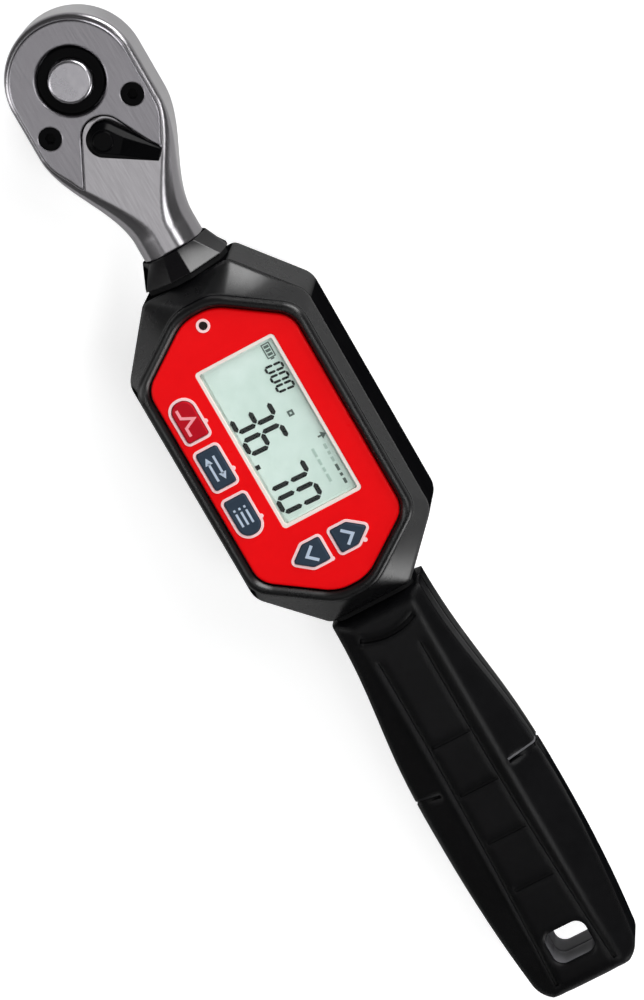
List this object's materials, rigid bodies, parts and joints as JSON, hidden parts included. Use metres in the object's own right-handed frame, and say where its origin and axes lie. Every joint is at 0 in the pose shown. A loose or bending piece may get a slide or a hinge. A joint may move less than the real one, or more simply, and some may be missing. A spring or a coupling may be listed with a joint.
{
  "type": "digital torque wrench",
  "caption": "Short ratcheting torque wrench with a square drive, a digital display housing with keys, and a moulded grip with a hanging hole.",
  "frame": {"origin": "centre of the flat end face of the square drive, on the drive's axis", "axes": "+X along the wrench from the square drive to the end of the grip, +Y to the upper side of the figures on the display, +Z out of the display along the drive's axis"},
  "size_m": [0.2389, 0.0428, 0.0333],
  "materials": {
    "forged_steel": "fine satin plating with bright edges",
    "drive_steel": "bright satin plating",
    "black_steel": "black oxide",
    "bright_steel": "ground",
    "button_steel": "turned and plated",
    "collar_black": "satin moulding",
    "seal_rubber": "matte",
    "housing_black": "satin moulding with fine texture",
    "panel_red": "smooth gloss film",
    "trim_pale": "printed border",
    "window_clear": "clear",
    "display_grey": "liquid crystal glass",
    "key_red": "soft-touch",
    "key_slate": "soft-touch",
    "lens_dark": "polished",
    "frame_white": "moulded",
    "board_green": "solder mask",
    "chip_black": "moulded",
    "gauge_foil": "foil on film",
    "contact_nickel": "nickel plate",
    "cell_wrap": "shrink sleeve",
    "grip_black": "matte moulding with fine texture"
  },
  "bodies": {
    "wrench": {"ratchet_head": "forged_steel", "cover_plate": "forged_steel", "cover_screws": "black_steel", "neck_collar": "collar_black", "collar_seal": "seal_rubber", "front_shell": "housing_black", "rear_shell": "housing_black", "housing_screws": "black_steel", "housing_seal": "seal_rubber", "key_borders": "trim_pale", "front_panel": "panel_red", "window_frame": "trim_pale", "display_window": "window_clear", "display_glass": "display_grey", "display_holder": "frame_white", "lamp_ring": "trim_pale", "lamp_lens": "lens_dark", "lamp_diode": "frame_white", "circuit_board": "board_green", "board_screws": "black_steel", "board_chips": "chip_black", "buzzer": "chip_black", "key_switches": "chip_black", "torque_beam": "bright_steel", "strain_gauges": "gauge_foil", "beam_pins": "bright_steel", "handle_tube": "bright_steel", "battery_cells": "cell_wrap", "battery_springs": "bright_steel", "battery_contacts": "contact_nickel", "grip_front_shell": "grip_black", "grip_back_shell": "grip_black", "grip_screws": "black_steel", "grip_seal": "seal_rubber", "gear_washer": "bright_steel"},
    "drive": {"drive_gear": "drive_steel", "gear_cap_ring": "black_steel", "release_spring": "bright_steel"},
    "release": {"release_button": "button_steel"},
    "detent": {"detent_ball": "bright_steel"},
    "lever": {"reversing_lever": "black_steel", "lever_clip": "bright_steel", "pawl_plunger": "bright_steel", "plunger_spring": "bright_steel"},
    "pawl": {"pawl": "bright_steel"},
    "mode_key": {"key_mode": "key_red"},
    "unit_key": {"key_unit": "key_slate"},
    "memory_key": {"key_memory": "key_slate"},
    "down_key": {"key_down": "key_slate"},
    "up_key": {"key_up": "key_slate"},
    "cover": {"battery_cover": "housing_black"}
  },
  "joints": [
    {"name": "drive_turn", "type": "hinge", "parent": "wrench", "child": "drive", "pos_m": [0, 0, 0.0175], "axis": [0, 0, 1], "continuous": true},
    {"name": "release_press", "type": "slide", "parent": "drive", "child": "release", "axis": [0, 0, -1], "range_m": [0, 0.0022], "stiffness_N_per_m": 900, "springref_m": -0.0015, "deforming": ["release_spring"]},
    {"name": "detent_move", "type": "slide", "parent": "drive", "child": "detent", "axis": [0, -1, 0], "range_m": [0, 0.0008]},
    {"name": "lever_turn", "type": "hinge", "parent": "wrench", "child": "lever", "pos_m": [0.0139, 0, 0.0175], "axis": [0, 0, 1], "range_deg": [-94, 0]},
    {"name": "pawl_rock", "type": "hinge", "parent": "wrench", "child": "pawl", "pos_m": [0.0139, 0, 0.0175], "axis": [0, 0, 1], "range_deg": [-14, 0]},
    {"name": "mode_key_press", "type": "slide", "parent": "wrench", "child": "mode_key", "axis": [0, 0, -1], "range_m": [0, 0.0007], "stiffness_N_per_m": 900, "springref_m": -0.0003},
    {"name": "unit_key_press", "type": "slide", "parent": "wrench", "child": "unit_key", "axis": [0, 0, -1], "range_m": [0, 0.0007], "stiffness_N_per_m": 900, "springref_m": -0.0003},
    {"name": "memory_key_press", "type": "slide", "parent": "wrench", "child": "memory_key", "axis": [0, 0, -1], "range_m": [0, 0.0007], "stiffness_N_per_m": 900, "springref_m": -0.0003},
    {"name": "down_key_press", "type": "slide", "parent": "wrench", "child": "down_key", "axis": [0, 0, -1], "range_m": [0, 0.0007], "stiffness_N_per_m": 900, "springref_m": -0.0003},
    {"name": "up_key_press", "type": "slide", "parent": "wrench", "child": "up_key", "axis": [0, 0, -1], "range_m": [0, 0.0007], "stiffness_N_per_m": 900, "springref_m": -0.0003},
    {"name": "cover_slide", "type": "slide", "parent": "wrench", "child": "cover", "axis": [1, 0, 0], "range_m": [0, 0.06]}
  ],
  "couplings": [
    {"joint": "detent_move", "follows": "release_press", "ratio": 0.36364},
    {"joint": "pawl_rock", "follows": "lever_turn", "ratio": 0.14894}
  ]
}
